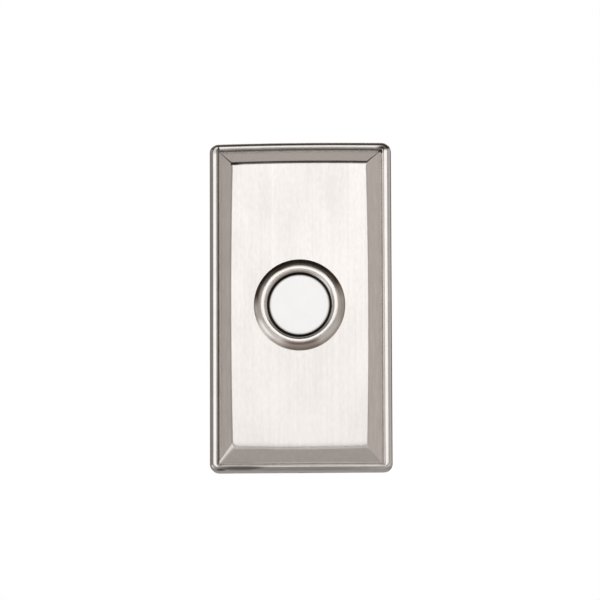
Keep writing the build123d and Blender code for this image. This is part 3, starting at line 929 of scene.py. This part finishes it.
# %% Turn the ring and barrel
CREST_LEVEL = 7.25
BEZEL_RADIUS = 9.55
CREST_RADIUS = 7.6
FLANK_ROUND = 2.18
FLANK_STEPS = 14
LIP_RADIUS = 6.7
LIP_ROUND = 0.9
LIP_BACK = 4.6
BARREL_RADIUS = 7.7
BARREL_BACK = -18.4
BARREL_ROUND = 0.3
BORE_RADIUS = 7.15
SEAT_RADIUS = 7.45
SEAT_FRONT = -17.0
SEAT_BACK = -17.6

flank = []
flank_turn = math.asin((BEZEL_RADIUS - CREST_RADIUS) / FLANK_ROUND)
for step in range(FLANK_STEPS + 1):
    tilt = flank_turn * step / FLANK_STEPS
    drop = FLANK_ROUND * (1 - math.cos(tilt))
    flank.append((CREST_RADIUS + FLANK_ROUND * math.sin(tilt), CREST_LEVEL - drop, 0))
bezel = lathe("nickel_ring_and_barrel", [
    (LIP_RADIUS, CREST_LEVEL, LIP_ROUND),
    *flank,
    (BEZEL_RADIUS, PANEL_FACE, 0),
    (BARREL_RADIUS, PANEL_FACE, 0),
    (BARREL_RADIUS, BARREL_BACK, BARREL_ROUND),
    (BORE_RADIUS, BARREL_BACK, 0),
    (BORE_RADIUS, SEAT_BACK, 0),
    (SEAT_RADIUS, SEAT_BACK, 0),
    (SEAT_RADIUS, SEAT_FRONT, 0),
    (BORE_RADIUS, SEAT_FRONT, 0),
    (BORE_RADIUS, LIP_BACK, 0),
    (LIP_RADIUS, LIP_BACK, 0),
])
print("ring and barrel:", len(bezel.data.polygons), "faces")

# %% [markdown]
# ## The thread of the barrel
#
# A thread is a ridge wound round the barrel, so its section, a small triangle, is wound with a
# Screw modifier: one full turn moves it on by one pitch. The ridge starts behind the panel, runs
# through the nut and shows again for a turn or two behind it. It is a little narrower than its
# pitch, so that neighbouring turns stay apart.

# %% Wind the thread
THREAD_RADIUS = 8.0
THREAD_END = 0.8
THREAD_PITCH = 0.6
THREAD_BITE = 0.05
RIDGE_SHARE = 0.9
TURN_STEPS = 72


def wind(section, pitch, turns):
    """Winds a closed section round the button's axis toward the wall."""
    pick(section)
    screw = section.modifiers.new("screw", "SCREW")
    screw.axis = "Y"
    screw.angle = math.tau
    screw.screw_offset = pitch * MM
    screw.iterations = turns
    screw.steps = TURN_STEPS
    screw.render_steps = TURN_STEPS
    bpy.ops.object.modifier_apply(modifier=screw.name)


bpy.ops.object.select_all(action="DESELECT")
bpy.ops.mesh.primitive_circle_add(vertices=3, radius=MM)
thread = bpy.context.object
thread_foot = BARREL_RADIUS - THREAD_BITE
ridge_half = RIDGE_SHARE * THREAD_PITCH / 2
ridge_corners = ((thread_foot, -ridge_half), (THREAD_RADIUS, 0.0), (thread_foot, ridge_half))
for vertex, (radius, along) in zip(thread.data.vertices, ridge_corners):
    vertex.co = Vector((radius, along + THREAD_PITCH - PANEL_FACE, 0)) * MM
thread_turns = int((PANEL_FACE - THREAD_END) / THREAD_PITCH) - 1
wind(thread, THREAD_PITCH, thread_turns)
close_skin(thread, fill=True)
print("thread:", thread_turns, "turns,", len(thread.data.polygons), "faces")

# %% [markdown]
# ## Painted shade in the lip
#
# Shade is painted inside the lip in a dark brown, and it fades out toward the crest. The shade is
# worked out for any place on the ring: a fade lies between two radii in millimetres, and an arc
# says how far a direction must point up, down, left or right to count.

# %% Painted shade of the lip
# painted shade: dark brown inside the lip of the ring
LIP_SHADE = 0.7
LIP_FADE = (6.72, 7.25)
LOWER_ARC = (0.2, 0.8)
LIT_ARC = (0.75, 0.98)


def smooth_step(low, high, value):
    """Goes softly from 0 at the low end to 1 at the high end."""
    share = min(1.0, max(0.0, (value - low) / (high - low)))
    return share * share * (3 - 2 * share)


def lip_shade(radius, rightward, upward):
    """Painted shade in the lip: deeper above and below, thin where light falls in from the right.
    """
    raised = max(0.0, upward)
    sunk = smooth_step(*LOWER_ARC, -upward)
    lit = smooth_step(*LIT_ARC, 0.8 * rightward + 0.6 * upward)
    depth = (LIP_SHADE + 0.15 * raised + 0.3 * sunk) * (1 - 0.75 * lit)
    fade_start = LIP_FADE[0] + 0.13 * sunk
    fade_end = LIP_FADE[1] + 0.2 * raised - 0.15 * sunk
    return depth * (1 - smooth_step(fade_start, fade_end, radius))


print("grime at the top of the lip:", round(lip_shade(LIP_RADIUS, 0.0, 1.0), 2))

# %% [markdown]
# ## Painted shade on the flank
#
# On the flank shade is painted in three places: over the top and down the left side, in a short
# arc at the bottom, and a little on the right. Where two of them meet, the stronger counts.

# %% Painted shade of the flank
# painted shade on the flank of the ring
FLANK_SHADE = 0.9
FLANK_START = (8.35, 9.0)
FLANK_MIDDLE = (8.4, 8.8)
FLANK_FOOT = (8.7, 9.2)
UPPER_ARC = (0.45, 0.95)
LEFT_ARC = (0.1, 0.5)
RIGHT_ARC = (0.3, 0.8)
LEFT_END = (-0.12, 0.22)
RIGHT_END = (-0.25, 0.6)
LOWER_START = (7.75, 8.1)
LOWER_FADE = (8.3, 8.8)
BOTTOM_ARC = (0.82, 0.98)
SIDE_SHADE = 0.26
SIDE_START = (7.7, 8.2)
SIDE_ARC = (0.4, 0.85)
RIM_SHADE = 0.2
RIM_START = (8.3, 9.1)
RIM_ARC = (0.85, 0.98)
LIP_SPARE = 0.1


def upper_shade(radius, rightward, upward):
    """Painted shade on the upper flank: nearest to the crest at the top, further round on the left.
    """
    rise = smooth_step(*UPPER_ARC, upward)
    left = smooth_step(*LEFT_ARC, -rightward)
    right = smooth_step(*RIGHT_ARC, rightward)
    start = FLANK_START[0] - 0.6 * rise - 0.2 * right - 0.12 * left * (1 - rise)
    end = FLANK_START[1] - 0.8 * rise * rise - (0.3 * right + 0.12 * left) * (1 - rise)
    inward = 1 - smooth_step(*FLANK_MIDDLE, radius)
    # the painted shade is a little thinner toward the foot at the top
    thinner = 0.2 * rise * (1 - left * inward) * (1 - smooth_step(*FLANK_FOOT, radius))
    around = smooth_step(*(RIGHT_END if rightward > 0 else LEFT_END), upward)
    return (FLANK_SHADE + 0.07 * left - thinner) * smooth_step(start, end, radius) * around


def lower_shade(radius, rightward, upward):
    """Painted shade at the bottom of the flank, thinner toward its foot."""
    depth = FLANK_SHADE - 0.28 * smooth_step(*LOWER_FADE, radius)
    around = smooth_step(*BOTTOM_ARC, 0.08 * rightward - upward)
    return depth * smooth_step(*LOWER_START, radius) * around


def side_shade(radius, rightward, upward):
    """Thin painted shade on the right flank, and a little more along the rim there."""
    around = smooth_step(*SIDE_ARC, 0.8 * rightward - 0.6 * upward)
    thin = SIDE_SHADE * smooth_step(*SIDE_START, radius) * around
    return thin + RIM_SHADE * smooth_step(*RIM_START, radius) * smooth_step(*RIM_ARC, rightward)


def painted_ring_shade(place):
    """Painted shade at a place on the ring; the barrel behind its lip has none."""
    if -place.y / MM < LIP_BACK - LIP_SPARE:
        return 0.0
    radius = math.hypot(place.x, place.z) / MM
    spot = (radius, place.x / MM / radius, place.z / MM / radius)
    return max(lip_shade(*spot), upper_shade(*spot), lower_shade(*spot), side_shade(*spot))


top_of_ring = Vector((0, -PANEL_FACE, BEZEL_RADIUS)) * MM
print("grime at the top of the ring:", round(painted_ring_shade(top_of_ring), 2))

# %% [markdown]
# ## Finish of the ring and barrel
#
# Thread and barrel are one turned piece, so a Boolean union makes one skin of the two. The painted
# shade is then set on the points of the mesh, where the finish of the ring reads it.

# %% Unite and finish
combine(bezel, thread, "UNION")
bezel.data.materials.clear()
bezel.data.materials.append(ring_nickel)
smooth_shade(bezel)
# painted shade on every point of the ring
ring_shade = bezel.data.attributes.new("painted_shade", "FLOAT", "POINT")
for vertex, shade in zip(bezel.data.vertices, ring_shade.data):
    shade.value = painted_ring_shade(vertex.co)
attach(bezel, "housing")
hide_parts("bezel")
print("finished ring and barrel:", len(bezel.data.polygons), "faces")

# %% [markdown]
# ## White cap
#
# The cap is a hollow moulding with a domed face and, behind the lip, a wider shoulder that keeps
# it from falling out. It is turned on the lathe like the ring.

# %% Turn the cap
CAP_RADIUS = 6.3
CAP_TOP = 6.65
CAP_CROWN = 0.2
CAP_EDGE_ROUND = 0.4
CAP_BORE = 5.2
CAP_ROOF = 5.05
SHOULDER_RADIUS = 7.0
SHOULDER_BACK = 3.2
DOME_STEPS = 12

cap_outline = []
for step in range(DOME_STEPS + 1):
    share = step / DOME_STEPS
    rounding = CAP_EDGE_ROUND if step == DOME_STEPS else 0
    cap_outline.append((CAP_RADIUS * share, CAP_TOP - CAP_CROWN * share ** 2, rounding))
cap_outline += [
    (CAP_RADIUS, LIP_BACK, 0),
    (SHOULDER_RADIUS, LIP_BACK, 0),
    (SHOULDER_RADIUS, SHOULDER_BACK, 0),
    (CAP_BORE, SHOULDER_BACK, 0),
    (CAP_BORE, CAP_ROOF, 0),
    (0, CAP_ROOF, 0),
]
cap = lathe("white_push_cap", cap_outline)
smooth_shade(cap)
print("cap:", len(cap.data.polygons), "faces")

# %% [markdown]
# ## Glow of the cap
#
# The cap is moulded in a milky plastic with the lamp behind it. Its glow is partly the lamp's light
# and partly painted light, which makes the face brighter and more even than the studio light would.
# Only its face glows, and the glow fades toward the rim, by the distance from the axis of the
# button.

# %% Finish the face of the cap
PAINTED_GLOW = 0.56
GLOW_TONE = (1, 1, 0.99)
GLOW_ENDS = (5.85 * MM, 6.35 * MM)
CAP_TONES = ((0.48, 0.48, 0.475), (0.52, 0.52, 0.515))
CAP_GRAIN = (300, 300, 300)
CAP_SKIN = (900, 900, 900)


def radius_from_axis(tree):
    """Distance from the axis of the button, in metres, as a value."""
    inputs = {0: own_space(tree), 1: (1, 0, 1)}
    return length(tree, add_node(tree, "ShaderNodeVectorMath", inputs, operation="MULTIPLY"))


cap_white, cap_tree, cap_shader = new_finish("white_cap_moulding", CAP_TONES[0], roughness=0.3)
axis_distance = radius_from_axis(cap_tree)
# painted light: a glow on the face of the cap, fading toward the rim
glow = remap(cap_tree, axis_distance, GLOW_ENDS, (PAINTED_GLOW, 0.0), interpolation_type="SMOOTHSTEP")
feed(cap_tree, cap_shader.inputs["Emission Strength"], glow)
cap_shader.inputs["Emission Color"].default_value = (*GLOW_TONE, 1)
milk = tint(cap_tree, grain(cap_tree, CAP_GRAIN), *CAP_TONES)
feed(cap_tree, cap_shader.inputs["Base Color"], milk)
relief(cap_tree, grain(cap_tree, CAP_SKIN), cap_shader)
cap.data.materials.append(cap_white)
print("glow of the cap:", PAINTED_GLOW)

# %% [markdown]
# ## Side of the cap
#
# The side of the cap stands in the narrow slit inside the ring, where hardly any light comes. Its
# white plastic is painted a dark, dull tone there as shade, on the faces of the side only.

# %% Paint shade on the side of the cap
SLIT_SHADE_TONE = (0.11, 0.1, 0.09)
SLIT_GRAIN = (500, 500, 500)
SIDE_MARGIN = 0.05

# painted shade: a dark tone for the shaded side of the white cap
slit_painted_shade, slit_tree, slit_shader = new_finish("shaded_cap_side", SLIT_SHADE_TONE, roughness=0.8)
slit_shader.inputs["Specular IOR Level"].default_value = 0.05
vary(slit_tree, grain(slit_tree, SLIT_GRAIN), slit_shader.inputs["Roughness"], 0.75, 0.85)
cap.data.materials.append(slit_painted_shade)
side_top = CAP_TOP - CAP_CROWN - CAP_EDGE_ROUND
for face in cap.data.polygons:
    outward = math.hypot(face.center.x, face.center.z) / MM
    if outward > CAP_RADIUS - SIDE_MARGIN and -face.center.y / MM < side_top:
        face.material_index = 1
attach(cap, "button")
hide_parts("push_cap")
print("shaded faces of the cap:", sum(face.material_index for face in cap.data.polygons))

# %% [markdown]
# ## Return spring
#
# A coil spring of round wire lifts the cap. Its end coils are wound close, so that they stand
# flat, and the coils between are open. Each stretch is the round section of the wire wound with
# its own pitch; the three are joined into one wire. On the real button the spring is squeezed
# toward its rear end when the button is pressed; here it keeps the length of its solid.

# %% Wind the return spring
SPRING_WIRE = 0.6
SPRING_TURNS = 6
COIL_GAP = 0.02
WIRE_SIDES = 14
WIRE_ANGLE = 60
spring_low, spring_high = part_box("return_spring")
spring_length = (spring_high.y - spring_low.y) / MM
coil_radius = spring_high.x / MM - SPRING_WIRE / 2
end_pitch = SPRING_WIRE + COIL_GAP
open_turns = SPRING_TURNS - 2
open_pitch = (spring_length - SPRING_WIRE - 2 * end_pitch) / open_turns

stretches = []
wire_start = spring_low.y / MM + SPRING_WIRE / 2
for pitch, turns in ((end_pitch, 1), (open_pitch, open_turns), (end_pitch, 1)):
    bpy.ops.object.select_all(action="DESELECT")
    bpy.ops.mesh.primitive_circle_add(
        vertices=WIRE_SIDES,
        radius=SPRING_WIRE / 2 * MM,
        location=(coil_radius * MM, wire_start * MM, 0),
    )
    bpy.ops.object.transform_apply(location=True)
    wire = bpy.context.object
    wind(wire, pitch, turns)
    stretches.append(wire)
    wire_start += pitch * turns
spring = stretches[0]
pick(spring)
for wire in stretches:
    wire.select_set(True)
bpy.ops.object.join()
spring.name = "return_spring_coil"
close_skin(spring, fill=True)
smooth_shade(spring, WIRE_ANGLE)

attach(spring, "housing")
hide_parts("return_spring")
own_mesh(spring)

# %% [markdown]
# ## Metal behind the plate
#
# The hidden pieces are seen from the back and when the doorbell is taken apart. Pressed steel has
# a bright zinc plate with a cool, cloudy bloom; the grub screw is blackened; contacts and
# terminals are bare brass with a little tarnish; the points on the contacts are silver. Each metal
# is given by its darker and its lighter tone, its grain and its roughness.

# %% Finishes of the hidden metal
DULLER, BRIGHTER = 0.08, 0.04
FINER = 4
METALS = {
    "zinc_plate": ((0.50, 0.52, 0.55), (0.70, 0.71, 0.71), (140, 140, 140), 0.36),
    "blackened_steel": ((0.03, 0.03, 0.033), (0.08, 0.078, 0.075), (900, 900, 900), 0.42),
    "bright_nut_nickel": ((0.60, 0.575, 0.54), (0.76, 0.735, 0.69), (260, 260, 260), 0.24),
    "spring_brass": ((0.52, 0.36, 0.15), (0.80, 0.62, 0.32), (260, 260, 260), 0.30),
    "bright_brass": ((0.58, 0.43, 0.19), (0.82, 0.66, 0.36), (500, 500, 500), 0.24),
    "contact_silver": ((0.72, 0.70, 0.66), (0.90, 0.89, 0.86), (1500, 1500, 1500), 0.32),
    "spring_wire": ((0.36, 0.36, 0.37), (0.60, 0.61, 0.63), (700, 150, 700), 0.26),
    "tinned_leads": ((0.58, 0.58, 0.58), (0.78, 0.78, 0.77), (900, 900, 900), 0.34),
}


def plain_metal(name, dark, light, scale, roughness):
    """Metal whose tone and roughness drift with a grain."""
    material, tree, shader = new_finish(name, light, roughness, 1.0)
    cloud = grain(tree, scale)
    feed(tree, shader.inputs["Base Color"], tint(tree, cloud, dark, light))
    vary(tree, cloud, shader.inputs["Roughness"], roughness + DULLER, roughness - BRIGHTER)
    relief(tree, grain(tree, [FINER * s for s in scale]), shader)
    return material


metals = {name: plain_metal(name, *looks) for name, looks in METALS.items()}
spring.data.materials.append(metals["spring_wire"])
print("metals:", list(metals))

# %% [markdown]
# ## Moulding and lamp
#
# The switch base is a black phenolic moulding: not quite black, with a fine fleck in it. The lamp
# is milky resin with a faint glow of its own, and a little light passes through it.

# %% Finishes of the moulding and the lamp
PHENOLIC_TONES = ((0.018, 0.018, 0.02), (0.055, 0.052, 0.05))
PHENOLIC_GRAIN = (1600, 1600, 1600)
PHENOLIC_RELIEF = 0.004 * MM
RESIN_TONES = ((0.90, 0.82, 0.62), (0.97, 0.94, 0.84))
RESIN_GRAIN = (500, 500, 500)
RESIN_CLEAR = 0.35
RESIN_GLOW, RESIN_GLOW_TONE = 0.3, (1.0, 0.9, 0.7)

phenolic, phenolic_tree, phenolic_shader = new_finish("black_phenolic", PHENOLIC_TONES[0], 0.45)
fleck = grain(phenolic_tree, PHENOLIC_GRAIN, detail=4)
flecked = tint(phenolic_tree, fleck, *PHENOLIC_TONES)
feed(phenolic_tree, phenolic_shader.inputs["Base Color"], flecked)
vary(phenolic_tree, fleck, phenolic_shader.inputs["Roughness"], 0.38, 0.55)
relief(phenolic_tree, fleck, phenolic_shader, PHENOLIC_RELIEF)

resin, resin_tree, resin_shader = new_finish("milky_resin", RESIN_TONES[1], roughness=0.18)
cloudy = tint(resin_tree, grain(resin_tree, RESIN_GRAIN), *RESIN_TONES)
feed(resin_tree, resin_shader.inputs["Base Color"], cloudy)
resin_shader.inputs["Transmission Weight"].default_value = RESIN_CLEAR
resin_shader.inputs["Emission Color"].default_value = (*RESIN_GLOW_TONE, 1)
resin_shader.inputs["Emission Strength"].default_value = RESIN_GLOW
print("moulded finishes:", phenolic.name, resin.name)

# %% [markdown]
# ## Enamel of the resistor
#
# The resistor has a beige enamel coat with coloured bands round it, which tell its value. They are
# drawn by the place along its body: a colour ramp with hard steps, where each band has a colour, a
# start and an end as shares of the body's length, counted from its rear.

# %% Finish of the resistor
BODY_REAR, BODY_FRONT = 6.1 * MM, 2.5 * MM
BEIGE = (0.62, 0.48, 0.30)
BANDS = (
    ((0.10, 0.045, 0.02), 0.20, 0.30),
    ((0.02, 0.02, 0.02), 0.40, 0.50),
    ((0.45, 0.03, 0.02), 0.60, 0.70),
    ((0.55, 0.36, 0.08), 0.82, 0.90),
)
ENAMEL_GRAIN = (1200, 1200, 1200)

enamel, enamel_tree, enamel_shader = new_finish("resistor_enamel", BEIGE, roughness=0.35)
axes = add_node(enamel_tree, "ShaderNodeSeparateXYZ", {"Vector": own_space(enamel_tree)})
along_body = remap(enamel_tree, axes.outputs["Y"], (BODY_REAR, BODY_FRONT), (0, 1))
bands = add_node(enamel_tree, "ShaderNodeValToRGB", {"Fac": along_body})
bands.color_ramp.interpolation = "CONSTANT"
steps = [(BEIGE, 0.0)]
for colour, start, end in BANDS:
    steps += [(colour, start), (BEIGE, end)]
stops = bands.color_ramp.elements
for number, (colour, start) in enumerate(steps):
    stop = stops[number] if number < 2 else stops.new(start)
    stop.position = start
    stop.color = (*colour, 1)
feed(enamel_tree, enamel_shader.inputs["Base Color"], bands.outputs["Color"])
specks = grain(enamel_tree, ENAMEL_GRAIN)
vary(enamel_tree, specks, enamel_shader.inputs["Roughness"], 0.28, 0.42)
print("steps of the ramp:", len(stops))

# %% [markdown]
# ## Pieces carried over from the frame
#
# The other hidden pieces have all their shape in the solids already: bends, teeth and slots. They
# stay as they are, so that nothing is modelled twice, and only get their finish.

# %% Give every carried-over piece its finish
DRESS = {
    "mounting_plate": metals["zinc_plate"],
    "lock_washer": metals["zinc_plate"],
    "grub_screw": metals["blackened_steel"],
    "lock_nut": metals["bright_nut_nickel"],
    "contact_bridge": metals["spring_brass"],
    "left_contact": metals["spring_brass"],
    "right_contact": metals["spring_brass"],
    "contact_points": metals["contact_silver"],
    "retaining_ring": metals["spring_wire"],
    "switch_base": phenolic,
    "terminal_screws": metals["bright_brass"],
    "terminal_washers": metals["bright_brass"],
    "lamp": resin,
}
for name, finish in DRESS.items():
    nodes[name].data.materials.clear()
    nodes[name].data.materials.append(finish)
print("finishes given:", len(DRESS))

# %% [markdown]
# ## Resistor body and leads
#
# The solid of the resistor is one piece, but its body and its leads have different finishes. A
# copy of it is merged and its faces are sorted by place: those near the axis of the body, within
# its length, are enamel, and all others are tinned wire.

# %% Dress the resistor
RESISTOR_RADIUS = 0.8 * MM
LEAD_REACH = 0.3 * MM
BODY_REACH = 0.85 * MM
END_SPARE = 0.1 * MM
bpy.ops.object.select_all(action="DESELECT")
resistor = nodes["resistor"].copy()
resistor.data = nodes["resistor"].data.copy()
resistor.name = "banded_resistor"
scene.collection.objects.link(resistor)
resistor.parent = None
resistor.data.materials.clear()
resistor.data.materials.append(metals["tinned_leads"])
resistor.data.materials.append(enamel)
close_skin(resistor, fill=True)
_, resistor_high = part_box("resistor")
body_axis = resistor_high.z - RESISTOR_RADIUS
for face in resistor.data.polygons:
    outward = math.hypot(face.center.x, face.center.z - body_axis)
    in_body = BODY_FRONT - END_SPARE < face.center.y < BODY_REAR + END_SPARE
    if in_body and LEAD_REACH < outward < BODY_REACH:
        face.material_index = 1
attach(resistor, "housing")
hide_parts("resistor")
print("resistor:", len(resistor.data.polygons), "faces")
